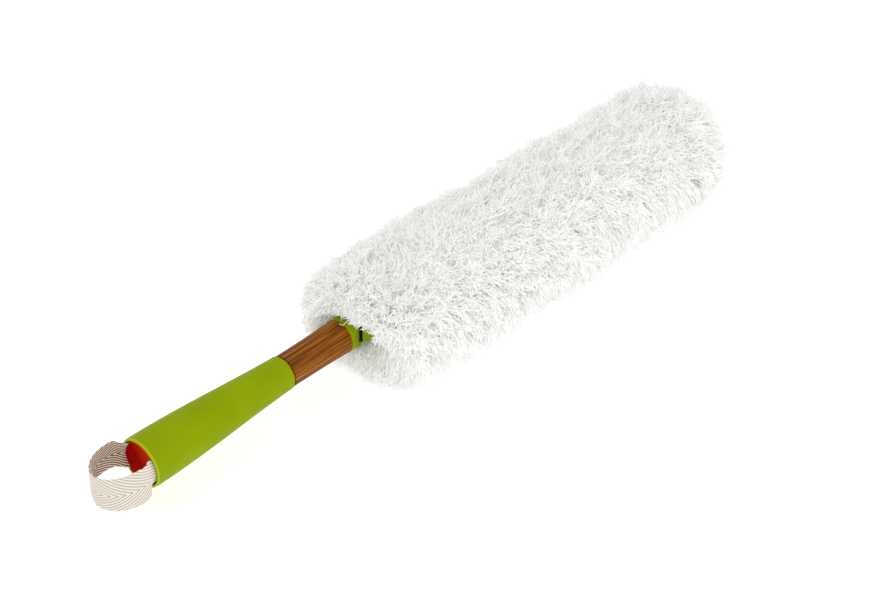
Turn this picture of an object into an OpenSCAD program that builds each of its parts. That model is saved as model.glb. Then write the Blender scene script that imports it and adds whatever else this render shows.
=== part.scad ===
// Hand duster: a tapered bamboo handle with a moulded grip and a hanging loop, a hinged
// paddle, and a washable yarn cover that slides off the paddle.
// X runs along the handle towards the duster's tip and +Z is up. Z is 0 on the flat
// underside of the yarn pile, and the origin is the middle of that flat.

/* [Handle] */
// Length from the butt to the pivot pin
handle_l = 210.5; // [180:0.5:260]
// Length of the moulded grip
grip_l = 139.5; // [110:0.5:150]
// Radius of the grip at the butt
grip_butt_r = 20.4; // [19:0.1:24]
// Radius of the grip at its front edge
grip_front_r = 13.8; // [13.6:0.1:15]
// Wall of the grip
grip_wall = 1.2; // [1:0.1:1.4]
// Radius of the bare bamboo where it leaves the grip
neck_r = 13.1; // [12.4:0.1:13.4]
// Radius of the bamboo and of the collar where they meet
collar_r = 13.8; // [13.6:0.1:14]
// Length of the collar in front of the bamboo
collar_l = 10.5; // [7:0.1:11]

/* [Hang loop] */
// Width of the cotton tape
tape_w = 25; // [20:1:26]
// Thickness of the cotton tape
tape_t = 1.4; // [1:0.1:1.4]
// Reach of the loop behind the butt
loop_reach = 42; // [38:1:60]
// Half width of the loop
loop_half_w = 20.5; // [19:0.5:24]

/* [Pivot] */
// Gap between the collar and the paddle
pivot_gap = 3.4; // [3:0.1:5]
// Radius of the knuckle's barrel
barrel_r = 8; // [7.5:0.1:8.2]
// Half width of the collar and paddle root across their flats
flat_half_w = 9.4; // [9:0.1:10]
// Radius of the pivot pin
pin_r = 2; // [1.5:0.1:2.5]

/* [Paddle] */
// Width of the blade
blade_w = 46; // [36:1:50]
// Thickness of the blade with its back plate
blade_t = 6; // [5:0.5:6.5]
// Distance from the pivot to the tip of the blade
blade_tip = 362; // [320:1:370]

/* [Cover] */
// Width of the sewn sleeve
sleeve_w = 58; // [56:1:62]
// Thickness of the sewn sleeve
sleeve_t = 14; // [13.5:0.5:16]
// Half width of the yarn pile
pile_half_w = 63; // [56:1:68]
// Half height of the yarn pile
pile_half_h = 51; // [46:1:56]
// Distance from the pivot to the tip of the pile
pile_tip_x = 391; // [385:1:410]
// How far the underside of the pile is flattened
pile_flat = 4; // [3:0.5:6]

/* [Hidden] */
$fn = 64;

eps = 0.01;
fit = 0.05;            // radial gap of a running or fixed fit
pin_fit = 0.02;        // radial gap of a pin in the hole that grips it
soft_gap = 0.2;        // gap between soft pieces
green = "yellowgreen";

// Stations along the handle, measured from the pivot pin
butt_x = -handle_l;
grip_front_x = butt_x + grip_l;
gap_half = pivot_gap / 2;
collar_rear_x = -gap_half - collar_l;
plug_body_l = 26;
bamboo_rear_x = butt_x + plug_body_l + 0.2;
plug_stem_r = 8;
plug_stem_l = 20;
spigot_r = 9;
spigot_l = 28;
spigot_tip_x = collar_rear_x - spigot_l;
grip_step = 0.05;      // gap between the grip's bore and the bamboo
groove_l = 1.5;        // groove round the bamboo in front of the grip
groove_d = 1;
rim_wall = 1.9;        // the grip's wall is thicker round its open end
rim_bore_r = grip_butt_r - rim_wall;
plug_r = rim_bore_r - 0.6;
tail_out = rim_bore_r - 0.3;
tail_in = tail_out - tape_t;
tail_deg = asin(tape_w / 2 / tail_out);

// Pivot
socket_r = barrel_r + 0.25;
ear_z = 9.1;           // inner face of the collar's ears, above and below the axis
ear_top_z = 12.9;
ear_r = 7.5;
barrel_half_h = 8.9;
pin_head_r = 3.6;
pin_head_h = 1;
shoe_r = 2.5;
shoe_l = 5;
spring_bore_x = -22;   // floor of the friction spring's bore
spring_wire_r = 0.3;
spring_r = 1.9;
spring_turns = 5;
dowel_r = 1.5;
dowel_x = -28;

// Paddle
flange_t = 0.5;        // plate on the knuckle that covers the root's rear face
root_half_h = 9.5;
root_half_w = 13.6;    // half width of the root where the blade begins to flatten
root_x = gap_half + flange_t + fit;
root_end_x = 24;       // the root block keeps its height up to here
blade_start_x = 62;    // the blade is flat from here on
tenon_half = 5;
tenon_tip_x = 22;
split_z = -1;          // joint between the paddle and its back plate
wire_r = 1.5;
wire_y = 13;
wire_start_x = 40;
blade_r = blade_w / 2;
blade_end_x = blade_tip - blade_r;
back_screw_x = [90, 200, 310];
knuckle_screw_x = [12, 18.5];

// Cover
mouth_x = 13;
elastic_l = 6;
mouth_w = 56;
mouth_h = 27;
mouth_wall = 2.9;
sleeve_x = mouth_x + elastic_l + soft_gap;
sleeve_r = sleeve_w / 2;
pocket_r = blade_r + 2;
pocket_h = blade_t + 2.4;
pile_rear_x = -18;
axis_h = pile_half_h - pile_flat;
rest_x = 190;          // middle of the pile's flat underside

// Puts a piece drawn about the pivot at its place in the part's frame
module place() {
    translate([-rest_x, 0, axis_h]) children();
}

// A profile of [x, radius] points turned about the handle's axis
module turned(points) {
    rotate([0, 90, 0])
        rotate_extrude($fn = 96)
            polygon([for (p = points) [p[1], p[0]]]);
}

// A cylinder along X from x0 to x1
module rod_x(r, x0, x1) {
    translate([x0, 0, 0]) rotate([0, 90, 0]) cylinder(r = r, h = x1 - x0);
}

// A rectangle w wide (Y) and h high (Z) with corner radius r, drawn through l along X
module rounded_bar(w, h, r, l) {
    rotate([90, 0, 90]) linear_extrude(l) {
        square([w, h - 2 * r], center = true);
        square([w - 2 * r, h], center = true);
        for (y = [-1, 1], z = [-1, 1])
            translate([y * (w / 2 - r), z * (h / 2 - r)]) circle(r);
    }
}

// A flat blade outline, from x0 to a round end of radius r centred on x1, h thick about z = 0
module round_ended(x0, x1, r, h) {
    translate([0, 0, -h / 2]) linear_extrude(h) {
        translate([x0, -r]) square([x1 - x0, 2 * r]);
        translate([x1, 0]) circle(r, $fn = 96);
    }
}

// Outside radius of the grip: full at the butt, then drawn in towards the front
function grip_r(x) =
    let (t = (grip_front_x - x) / grip_l)
    grip_front_r + (grip_butt_r - grip_front_r) * sin(90 * pow(max(t, 0), 1.3));

// Outside radius of the bare neck, flaring slightly towards the collar
function neck_flare_r(x) =
    let (t = (x - grip_front_x) / (collar_rear_x - grip_front_x))
    neck_r + (collar_r - neck_r) * pow(max(t, 0), 2.4);

grip_steps = 24;
function grip_x(i) = butt_x + grip_l * i / grip_steps;

// --- Handle ---

module bamboo_handle() {
    core_r = function (x) grip_r(x) - grip_wall - grip_step;
    neck_steps = 10;
    neck_x = grip_front_x + grip_step + groove_l;
    under_grip = [for (i = [0:grip_steps]) let (x = max(grip_x(i), bamboo_rear_x)) [x, core_r(x)]];
    kept = [for (i = [0:grip_steps]) if (i == grip_steps || grip_x(i + 1) > bamboo_rear_x) under_grip[i]];
    groove = [for (x = [neck_x - groove_l, neck_x]) [x, neck_r - groove_d]];
    neck = [for (i = [0:neck_steps])
        let (x = neck_x + (collar_rear_x - 0.05 - neck_x) * i / neck_steps)
        [x, neck_flare_r(x)]];
    color("peru") place() difference() {
        turned(concat([[bamboo_rear_x, 0]], kept, groove, neck, [[collar_rear_x - 0.05, 0]]));
        rod_x(plug_stem_r + fit, bamboo_rear_x - 1, butt_x + plug_body_l + plug_stem_l + 1);
        rod_x(spigot_r + fit, spigot_tip_x - 0.5, 0);
        dowel_hole();
    }
}

module grip_sleeve() {
    lip = 0.5;         // rounding of the front edge
    rim_l = 2.4;       // rounding of the rim at the butt
    rim_d = 0.7;
    rim = [for (a = [0:15:90]) [butt_x + rim_l * (1 - cos(a)), grip_butt_r - rim_d * (1 - sin(a))]];
    outer = [for (i = [1:grip_steps - 1]) [grip_x(i), grip_r(grip_x(i))]];
    inner = [for (i = [grip_steps:-1:1]) [grip_x(i), grip_r(grip_x(i)) - grip_wall]];
    rim_depth = 5;
    color(green) place() turned(concat(
        [[butt_x, rim_bore_r]],
        rim,
        outer,
        [[grip_front_x - lip, grip_front_r], [grip_front_x, grip_front_r - lip]],
        inner,
        [[butt_x + rim_depth, rim_bore_r]]));
}

module butt_plug() {
    edge = 1.2;        // rounding of the plug's face
    arc = [for (a = [0:15:90]) [butt_x + edge - edge * sin(a), plug_r - edge + edge * cos(a)]];
    face = [for (i = [len(arc) - 1:-1:0]) arc[i]];
    color("orangered") place() difference() {
        turned(concat([[butt_x, 0]], face,
            [[butt_x + plug_body_l, plug_r], [butt_x + plug_body_l, plug_stem_r],
             [butt_x + plug_body_l + plug_stem_l, plug_stem_r],
             [butt_x + plug_body_l + plug_stem_l, 0]]));
        // Channels for the tape's two tails
        for (side = [0, 180]) rotate([side, 0, 0])
            tail_sector(butt_x - 1, plug_body_l + 2, tail_in - 0.1, 5, tail_deg + 2.4);
        loop_pin_shape(pin_fit);
    }
}

loop_pin_x = butt_x + 14;
loop_pin_half = grip_butt_r - grip_wall - 0.7;

module loop_pin_shape(gap) {
    translate([loop_pin_x, 0, 0]) rotate([90, 0, 0])
        cylinder(r = 1.5 + gap, h = 2 * (loop_pin_half + gap), center = true);
}

module loop_pin() {
    color("silver") place() loop_pin_shape(0);
}

// A curved slab over the angles within deg of the +Y side, from x0 through l along X
module tail_sector(x0, l, r, t, deg) {
    translate([x0, 0, 0]) rotate([90, 0, 90]) rotate([0, 0, -deg])
        rotate_extrude(angle = 2 * deg, $fn = 96) translate([r, 0]) square([t, l]);
}

// The tape's two tails lie curved between the plug and the grip; outside, it stands on edge
// and bends round in an open bow
module hang_loop() {
    bow_x = butt_x - 16;
    bow_l = loop_reach - 16 - tape_t / 2;
    bow_w = loop_half_w - tape_t / 2;
    bow_end = 90 - asin(15.2 / bow_l);
    steps = 36;
    bow = function (out) [for (i = [0:steps])
        let (a = bow_end + (360 - 2 * bow_end) * i / steps)
        [bow_x + (bow_l + out) * cos(a), (bow_w + out) * sin(a)]];
    inner = bow(-tape_t / 2);
    color("linen") place() difference() {
        union() {
            for (side = [0, 180])
                rotate([side, 0, 0]) tail_sector(butt_x - 1, 19, tail_in, tape_t, tail_deg);
            translate([0, 0, -tape_w / 2]) linear_extrude(tape_w)
                polygon(concat(bow(tape_t / 2), [for (i = [steps:-1:0]) inner[i]]));
        }
        loop_pin_shape(pin_fit);
    }
}

module dowel_hole() {
    translate([dowel_x, 0, -collar_r - 1]) cylinder(r = dowel_r + pin_fit, h = collar_r + 1 + 7);
}

module collar_dowel() {
    color("silver") place()
        translate([dowel_x, 0, -neck_r + 0.6]) cylinder(r = dowel_r, h = neck_r - 0.6 + 6.8);
}

module spring_bore() {
    rod_x(shoe_r + 0.1, spring_bore_x, 0);
}

module collar() {
    shoulder = [[collar_rear_x, 0], [collar_rear_x, collar_r], [-gap_half - 0.6, collar_r],
        [-gap_half, collar_r - 0.6], [-gap_half, 0]];
    color(green) place() difference() {
        union() {
            intersection() {
                turned(shoulder);
                // The round ferrule runs out into two upright flats at its front edge
                collar_flats();
            }
            rod_x(spigot_r, spigot_tip_x, collar_rear_x + eps);
            for (z = [-ear_top_z, ear_z])
                translate([0, 0, z]) {
                    cylinder(r = ear_r, h = ear_top_z - ear_z);
                    translate([collar_rear_x + 1, -ear_r, 0])
                        cube([-collar_rear_x - 1, 2 * ear_r, ear_top_z - ear_z]);
                }
        }
        translate([0, 0, -ear_z]) cylinder(r = socket_r, h = 2 * ear_z);
        translate([-gap_half, -20, -ear_z]) cube([20, 40, 2 * ear_z]);
        translate([0, 0, -20]) cylinder(r = pin_r + pin_fit, h = 40);
        // Recesses for the pin's head and its clip
        for (z = [-20, ear_top_z]) translate([0, 0, z])
            cylinder(r = pin_head_r + 0.2, h = 20 - ear_top_z);
        spring_bore();
        dowel_hole();
    }
}

// Wedge-sided block: the collar's full width behind, and flat_half_w at its front edge
module collar_flats() {
    translate([0, 0, -20]) linear_extrude(40)
        polygon([[collar_rear_x - 1, -20], [collar_rear_x + 1.5, -collar_r],
            [-gap_half, -flat_half_w], [-gap_half, flat_half_w],
            [collar_rear_x + 1.5, collar_r], [collar_rear_x - 1, 20]]);
}

module pivot_pin() {
    color("silver") place() {
        translate([0, 0, -ear_top_z - 1.2]) cylinder(r = pin_r, h = 2 * ear_top_z + 1.2);
        translate([0, 0, ear_top_z]) cylinder(r = pin_head_r, h = pin_head_h * 0.6);
        translate([0, 0, ear_top_z + pin_head_h * 0.6])
            cylinder(r1 = pin_head_r, r2 = pin_head_r - 1, h = pin_head_h * 0.4);
    }
}

module pin_clip() {
    color("dimgray") place() translate([0, 0, -ear_top_z - 0.9]) difference() {
        cylinder(r = pin_head_r, h = 0.85);
        translate([0, 0, -1]) cylinder(r = pin_r + pin_fit, h = 3);
    }
}

module friction_shoe() {
    color("ivory") place() difference() {
        rod_x(shoe_r, -barrel_r - shoe_l, -barrel_r + 2);
        translate([0, 0, -10]) cylinder(r = barrel_r + fit, h = 20);
    }
}

// A coil swept as one closed mesh: rings of points along a helix, with both ends capped
module coil(mean_r, wire, length, turns, ring = 6, per_turn = 14) {
    n = turns * per_turn;
    pitch_deg = atan(length / turns / (2 * PI * mean_r));
    at = function (i, k)
        let (a = 360 * i / per_turn, b = 360 * k / ring,
             out = mean_r + wire * cos(b), tilt = wire * sin(b))
        [length * i / n + tilt * cos(pitch_deg),
         out * cos(a) + tilt * sin(pitch_deg) * sin(a),
         out * sin(a) - tilt * sin(pitch_deg) * cos(a)];
    points = [for (i = [0:n], k = [0:ring - 1]) at(i, k)];
    sides = [for (i = [0:n - 1], k = [0:ring - 1])
        let (a = i * ring + k, b = i * ring + (k + 1) % ring)
        [a, b, b + ring, a + ring]];
    caps = [[for (k = [ring - 1:-1:0]) k], [for (k = [0:ring - 1]) n * ring + k]];
    polyhedron(points, concat(sides, caps), convexity = 6);
}

module friction_spring() {
    free_l = -barrel_r - shoe_l - spring_bore_x - 2 * spring_wire_r - 0.2;
    color("gray") place()
        translate([spring_bore_x + spring_wire_r + 0.1, 0, 0])
            coil(spring_r, spring_wire_r, free_l, spring_turns);
}

// --- Paddle ---

module knuckle() {
    color([0.08, 0.08, 0.09]) place() difference() {
        union() {
            translate([0, 0, -barrel_half_h]) cylinder(r = barrel_r, h = 2 * barrel_half_h);
            translate([0, -tenon_half, -tenon_half])
                cube([tenon_tip_x, 2 * tenon_half, 2 * tenon_half]);
            translate([gap_half, -flat_half_w, -barrel_half_h])
                cube([flange_t, 2 * flat_half_w, 2 * barrel_half_h]);
        }
        translate([0, 0, -20]) cylinder(r = pin_r + fit, h = 40);
        knuckle_screw_holes();
    }
}

module knuckle_screw_holes() {
    for (x = knuckle_screw_x)
        translate([x, 0, -root_half_h - 1]) cylinder(r = 1.25 + pin_fit, h = 13.2);
}

module knuckle_screws() {
    color("silver") place() for (x = knuckle_screw_x)
        translate([x, 0, 0]) {
            translate([0, 0, -root_half_h + 0.4]) cylinder(r = 2.4, h = 1.6);
            translate([0, 0, -root_half_h + 1]) cylinder(r = 1.25, h = 10.5);
        }
}

// Root block drawn out into the flat blade
module root_taper() {
    hull() {
        translate([root_end_x - eps, 0, 0])
            cube([2 * eps, 2 * root_half_w, 2 * root_half_h], center = true);
        translate([blade_start_x, 0, 0]) cube([2 * eps, blade_w, blade_t], center = true);
    }
}

module root_block() {
    hull() {
        translate([root_x, -flat_half_w, -root_half_h]) cube([eps, 2 * flat_half_w, 2 * root_half_h]);
        translate([root_end_x - eps, -root_half_w, -root_half_h])
            cube([eps, 2 * root_half_w, 2 * root_half_h]);
    }
}

module paddle() {
    color(green) place() difference() {
        union() {
            root_block();
            root_taper();
            round_ended(blade_start_x, blade_end_x, blade_r, blade_t);
        }
        // Seat of the knuckle's barrel and tenon
        translate([0, 0, -20]) cylinder(r = barrel_r + fit, h = 40);
        translate([-1, -tenon_half - fit, -tenon_half - fit])
            cube([tenon_tip_x + 1 + fit, 2 * (tenon_half + fit), 2 * (tenon_half + fit)]);
        knuckle_screw_holes();
        for (x = knuckle_screw_x)
            translate([x, 0, -root_half_h - 1]) cylinder(r = 2.45, h = 3.05);
        ear_reliefs();
        back_seat();
        wire_shape(0.1);
        for (x = back_screw_x) translate([x, 0, -5]) cylinder(r = 1.02, h = 6.2);
    }
}

// Room for the collar's ears as the paddle swings
module ear_reliefs() {
    for (z = [-20, ear_z - 0.15]) translate([0, 0, z])
        cylinder(r = ear_r + 0.4, h = 20 - ear_z + 0.15);
}

// The back plate's rebate in the blade
module back_seat() {
    translate([0, 0, split_z - 10]) linear_extrude(10) {
        translate([blade_start_x + 4, -blade_r - 1]) square([blade_end_x - blade_start_x, blade_w + 2]);
        translate([blade_end_x, 0]) circle(blade_r + 1);
    }
}

module paddle_back() {
    plate_x = blade_start_x + 4 + fit;
    color(green) place() difference() {
        translate([0, 0, -blade_t / 2]) linear_extrude(blade_t / 2 + split_z - fit) {
            translate([plate_x, -blade_r]) square([blade_end_x - plate_x, blade_w]);
            translate([blade_end_x, 0]) circle(blade_r, $fn = 96);
        }
        wire_shape(0.1);
        for (x = back_screw_x) translate([x, 0, 0]) {
            translate([0, 0, -5]) cylinder(r = 1.05, h = 8);
            translate([0, 0, -5]) cylinder(r = 2.05, h = 2.9);
        }
    }
}

module paddle_screws() {
    color("silver") place() for (x = back_screw_x)
        translate([x, 0, 0]) {
            translate([0, 0, -blade_t / 2 + 0.1]) cylinder(r = 2, h = 0.75);
            translate([0, 0, -blade_t / 2 + 0.5]) cylinder(r = 1, h = 3.5);
        }
}

// A hairpin of round wire lying on the joint between the paddle and its back plate
module wire_shape(gap) {
    translate([0, 0, split_z]) {
        for (y = [-wire_y, wire_y])
            translate([0, y, 0]) rod_x(wire_r + gap, wire_start_x + 30 - gap, blade_end_x);
        translate([blade_end_x, 0, 0]) rotate([0, 0, -90])
            rotate_extrude(angle = 180) translate([wire_y, 0]) circle(wire_r + gap, $fn = 32);
    }
}

module stiffener_wire() {
    color("silver") place() wire_shape(0);
}

// --- Cover ---

module sleeve_outside(grow) {
    hull() {
        translate([sleeve_x - grow, 0, 0]) rounded_bar(mouth_w + 2 * grow, mouth_h + 2 * grow, 5, eps);
        translate([blade_start_x, 0, 0]) rounded_bar(sleeve_w + 2 * grow, sleeve_t + 2 * grow, 3, eps);
    }
    round_ended(blade_start_x, blade_tip + 6 - sleeve_r, sleeve_r + grow, sleeve_t + 2 * grow);
}

module sleeve_pocket() {
    hull() {
        translate([sleeve_x - 1, 0, 0]) rounded_bar(2 * pocket_r, 2 * root_half_h + 2, 3, eps);
        translate([blade_start_x, 0, 0]) rounded_bar(2 * pocket_r, pocket_h, 2, eps);
    }
    round_ended(blade_start_x, blade_tip + 2 - pocket_r, pocket_r, pocket_h);
}

module sleeve_half(up) {
    color("whitesmoke") place() difference() {
        sleeve_outside(0);
        sleeve_pocket();
        translate([-50, -60, up ? -60 + fit : -fit]) cube([500, 120, 60]);
    }
}

module sleeve_top() {
    sleeve_half(true);
}

module sleeve_bottom() {
    sleeve_half(false);
}

// A tape sewn round the edge where the sleeve's two layers meet
module seam_binding() {
    tape = 1.4;
    end_x = blade_tip + 6 - sleeve_r;
    color("white") place() translate([0, 0, -3]) linear_extrude(6) difference() {
        union() {
            translate([blade_start_x + 1, -sleeve_r - tape]) square([end_x - blade_start_x - 1, sleeve_w + 2 * tape]);
            translate([end_x, 0]) circle(sleeve_r + tape, $fn = 96);
        }
        translate([blade_start_x, -sleeve_r - fit]) square([end_x - blade_start_x, sleeve_w + 2 * fit]);
        translate([end_x, 0]) circle(sleeve_r + fit, $fn = 96);
    }
}

module mouth_elastic() {
    color("white") place() difference() {
        translate([mouth_x, 0, 0]) rounded_bar(mouth_w, mouth_h, 5, elastic_l);
        translate([mouth_x - 1, 0, 0])
            rounded_bar(mouth_w - 2 * mouth_wall, mouth_h - 2 * mouth_wall, 3, elastic_l + 2);
    }
}

// An ellipsoid of the pile's section, half_l long each way, centred x along the axis
module pile_bulb(x, half_l, share) {
    translate([x, 0, 0])
        scale([half_l, pile_half_w * share, pile_half_h * share]) sphere(r = 1, $fn = 32);
}

// Room for the sewn sleeve and its mouth inside the pile
module sleeve_room() {
    half_w = sleeve_r + 2;
    mouth_half_h = mouth_h / 2 + soft_gap;
    flat_half_h = sleeve_t / 2 + soft_gap;
    end_x = blade_tip + 6 - sleeve_r;
    rotate([90, 0, 0]) linear_extrude(2 * half_w, center = true)
        polygon([[mouth_x - soft_gap, mouth_half_h], [mouth_x - soft_gap, -mouth_half_h],
            [sleeve_x + 1.4, -mouth_half_h], [blade_start_x + 1, -flat_half_h],
            [end_x, -flat_half_h], [end_x, flat_half_h],
            [blade_start_x + 1, flat_half_h], [sleeve_x + 1.4, mouth_half_h]]);
    translate([end_x, 0, -flat_half_h]) cylinder(r = half_w, h = 2 * flat_half_h, $fn = 96);
}

// The whole pile, with a flat underside and a flared opening that leaves the collar free to swing
module pile_body() {
    rear_l = 50;
    front_l = 58;
    difference() {
        hull() {
            pile_bulb(pile_rear_x + rear_l, rear_l, 0.96);
            pile_bulb(110, 60, 1);
            pile_bulb(pile_tip_x - front_l, front_l, 0.97);
        }
        translate([-100, -100, -pile_half_h - 50 + pile_flat]) cube([600, 200, 50]);
        translate([pile_rear_x - 10, 0, 0]) rotate([0, 90, 0])
            cylinder(r1 = 31, r2 = 25, h = mouth_x + 1 - pile_rear_x + 10, $fn = 48);
        sleeve_room();
    }
}

module pile_half(up) {
    color("white") place() difference() {
        pile_body();
        translate([-100, -100, up ? -100 + soft_gap / 2 : -soft_gap / 2]) cube([600, 200, 100]);
    }
}

module pile_top() {
    pile_half(true);
}

module pile_bottom() {
    pile_half(false);
}

bamboo_handle();
grip_sleeve();
butt_plug();
hang_loop();
loop_pin();
collar();
collar_dowel();
pivot_pin();
pin_clip();
friction_shoe();
friction_spring();
knuckle();
knuckle_screws();
paddle();
paddle_back();
paddle_screws();
stiffener_wire();
sleeve_top();
sleeve_bottom();
seam_binding();
mouth_elastic();
pile_top();
pile_bottom();
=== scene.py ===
"""Looks of the hand duster: materials, hanging tape, sewn cover, yarn pile, studio light and camera."""

import math

import bpy
import numpy as np
from mathutils import Matrix, Vector


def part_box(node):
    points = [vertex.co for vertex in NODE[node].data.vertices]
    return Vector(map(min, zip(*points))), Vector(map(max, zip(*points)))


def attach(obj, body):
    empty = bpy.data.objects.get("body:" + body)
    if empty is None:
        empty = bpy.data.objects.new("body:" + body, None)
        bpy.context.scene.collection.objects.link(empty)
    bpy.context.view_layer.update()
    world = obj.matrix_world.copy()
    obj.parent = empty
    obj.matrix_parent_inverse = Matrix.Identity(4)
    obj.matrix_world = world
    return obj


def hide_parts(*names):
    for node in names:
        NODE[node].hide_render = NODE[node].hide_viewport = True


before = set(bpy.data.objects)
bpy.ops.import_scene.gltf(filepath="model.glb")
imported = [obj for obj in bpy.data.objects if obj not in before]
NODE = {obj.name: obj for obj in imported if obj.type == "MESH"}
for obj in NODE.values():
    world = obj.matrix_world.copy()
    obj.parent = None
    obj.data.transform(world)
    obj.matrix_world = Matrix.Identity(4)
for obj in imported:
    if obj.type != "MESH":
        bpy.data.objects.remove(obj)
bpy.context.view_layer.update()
SEED = 464
rng = np.random.default_rng(SEED)

# Everything soft is laid out in millimetres about the pivot pin: X to the tip, Y left, Z up.
pin_lo, pin_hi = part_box("pivot_pin")
knuckle_lo, knuckle_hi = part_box("knuckle")
PIVOT = np.array([
    (pin_lo.x + pin_hi.x) / 2,
    (pin_lo.y + pin_hi.y) / 2,
    (knuckle_lo.z + knuckle_hi.z) / 2,
])
MM = 0.001


def box_mm(name):
    lo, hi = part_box(name)
    return (np.array(lo) - PIVOT) / MM, (np.array(hi) - PIVOT) / MM


def to_frame(points):
    return np.asarray(points, float).reshape(-1, 3) * MM + PIVOT


# ---------------------------------------------------------------- mesh tools

def build_mesh(name, points, quads=None, tris=None, uv=None, smooth=True, attributes=None):
    """A mesh object from points in millimetres about the pivot. uv is one pair per face corner."""
    mesh = bpy.data.meshes.new(name)
    co = to_frame(points).astype(np.float32)
    parts, sizes = [], []
    if quads is not None and len(quads):
        parts.append(np.asarray(quads, np.int32).ravel())
        sizes.append(np.full(len(quads), 4, np.int32))
    if tris is not None and len(tris):
        parts.append(np.asarray(tris, np.int32).ravel())
        sizes.append(np.full(len(tris), 3, np.int32))
    corner = np.concatenate(parts)
    size = np.concatenate(sizes)
    mesh.vertices.add(len(co))
    mesh.vertices.foreach_set("co", co.ravel())
    mesh.loops.add(len(corner))
    mesh.loops.foreach_set("vertex_index", corner)
    mesh.polygons.add(len(size))
    start = np.concatenate([[0], np.cumsum(size)[:-1]]).astype(np.int32)
    mesh.polygons.foreach_set("loop_start", start)
    mesh.polygons.foreach_set("use_smooth", np.full(len(size), smooth, bool))
    if uv is not None:
        layer = mesh.uv_layers.new(name="OFBake")
        layer.data.foreach_set("uv", np.asarray(uv, np.float32).ravel())
    for key, values in (attributes or {}).items():
        layer = mesh.attributes.new(key, "FLOAT", "POINT")
        layer.data.foreach_set("value", np.asarray(values, np.float32))
    mesh.update()
    mesh.validate()
    obj = bpy.data.objects.new(name, mesh)
    bpy.context.scene.collection.objects.link(obj)
    return obj


def unit(v):
    return v / np.maximum(np.linalg.norm(v, axis=-1, keepdims=True), 1e-9)


def grid_faces(rows, cols, wrap_rows=False, wrap_cols=False, base=0):
    """Quads of a rows by cols grid of points, with one uv pair per corner."""
    i = np.arange(rows if wrap_rows else rows - 1)
    j = np.arange(cols if wrap_cols else cols - 1)
    ii, jj = np.meshgrid(i, j, indexing="ij")
    a = ii * cols + jj
    b = ii * cols + (jj + 1) % cols
    c = ((ii + 1) % rows) * cols + (jj + 1) % cols
    d = ((ii + 1) % rows) * cols + jj
    quads = np.stack([a, b, c, d], -1).reshape(-1, 4) + base
    u0, u1 = ii / len(i), (ii + 1) / len(i)
    v0, v1 = jj / len(j), (jj + 1) / len(j)
    uv = np.stack([
        np.stack([u0, v0], -1), np.stack([u0, v1], -1),
        np.stack([u1, v1], -1), np.stack([u1, v0], -1),
    ], -2).reshape(-1, 2)
    return quads, uv


def closed_sheet(name, front, back, wrap=False, attributes=None):
    """A sheet with two faces given as grids of points, front[i, j] over back[i, j], closed round its edges.

    wrap joins the last row to the first. Each attribute is a pair of values, for the front and the back.
    """
    rows, cols = front.shape[:2]
    half = rows * cols
    quads_front, uv_front = grid_faces(rows, cols, wrap_rows=wrap)
    quads_back = quads_front[:, ::-1] + half
    uv_back = uv_front.reshape(-1, 4, 2)[:, ::-1].reshape(-1, 2)
    i = np.arange(rows if wrap else rows - 1)
    nxt = (i + 1) % rows
    rims = []
    for col, order in ((0, -1), (cols - 1, 1)):
        a, b = i * cols + col, nxt * cols + col
        rims.append(np.stack([a, b, b + half, a + half], -1)[:, ::order])
    if not wrap:
        j = np.arange(cols - 1)
        for row, order in ((0, 1), (rows - 1, -1)):
            a, b = row * cols + j, row * cols + j + 1
            rims.append(np.stack([a, b, b + half, a + half], -1)[:, ::order])
    rims = np.concatenate(rims)
    # The front, the back and the narrow rims each have their own band of the texture
    uv_rims = np.tile([[0.2, 0.495], [0.4, 0.495], [0.4, 0.498], [0.2, 0.498]], (len(rims), 1))
    uv = np.concatenate([uv_front * [1, 0.48], uv_back * [1, 0.48] + [0, 0.51], uv_rims])
    points = np.concatenate([front.reshape(-1, 3), back.reshape(-1, 3)])
    quads = np.concatenate([quads_front, quads_back, rims])
    values = {key: np.concatenate([np.broadcast_to(v, (rows, cols)).ravel() for v in pair])
              for key, pair in (attributes or {}).items()}
    return build_mesh(name, points, quads, uv=uv, attributes=values)


# ---------------------------------------------------------------- materials

def new_material(name):
    m = bpy.data.materials.new(name)
    m.use_nodes = True
    return m, m.node_tree, m.node_tree.nodes["Principled BSDF"]


def add(tree, kind, inputs=None, **props):
    n = tree.nodes.new(kind)
    for k, v in props.items():
        setattr(n, k, v)
    for k, v in (inputs or {}).items():
        if isinstance(v, bpy.types.NodeSocket):
            tree.links.new(v, n.inputs[k])
        else:
            n.inputs[k].default_value = v
    return n


def link(tree, socket, target):
    tree.links.new(socket, target)


def object_coords(tree):
    """Places on the object, in metres."""
    return add(tree, "ShaderNodeTexCoord").outputs["Object"]


def stretched(tree, scale):
    """Object coordinates in metres, scaled on each axis."""
    mapping = add(tree, "ShaderNodeMapping", {"Vector": object_coords(tree), "Scale": scale})
    return mapping.outputs["Vector"]


def attribute(tree, name):
    return add(tree, "ShaderNodeAttribute", attribute_name=name).outputs["Fac"]


def calc(tree, operation, *values):
    """A Math node over numbers and sockets."""
    return add(tree, "ShaderNodeMath", dict(enumerate(values)), operation=operation).outputs["Value"]


def vector_calc(tree, operation, *values, result="Vector"):
    """A Vector Math node over vectors and sockets. result is "Value" for an operation that gives a number."""
    return add(tree, "ShaderNodeVectorMath", dict(enumerate(values)), operation=operation).outputs[result]


def noise(tree, vector, scale, detail=4.0, rough=0.55):
    n = add(tree, "ShaderNodeTexNoise", {
        "Vector": vector, "Scale": scale, "Detail": detail, "Roughness": rough})
    return n.outputs["Fac"]


def ramp(tree, fac, stops):
    n = add(tree, "ShaderNodeValToRGB", {"Fac": fac})
    e = n.color_ramp.elements
    while len(e) < len(stops):
        e.new(0.5)
    for item, (pos, color) in zip(e, stops):
        item.position = pos
        item.color = (*color, 1.0)
    return n.outputs["Color"]


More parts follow.
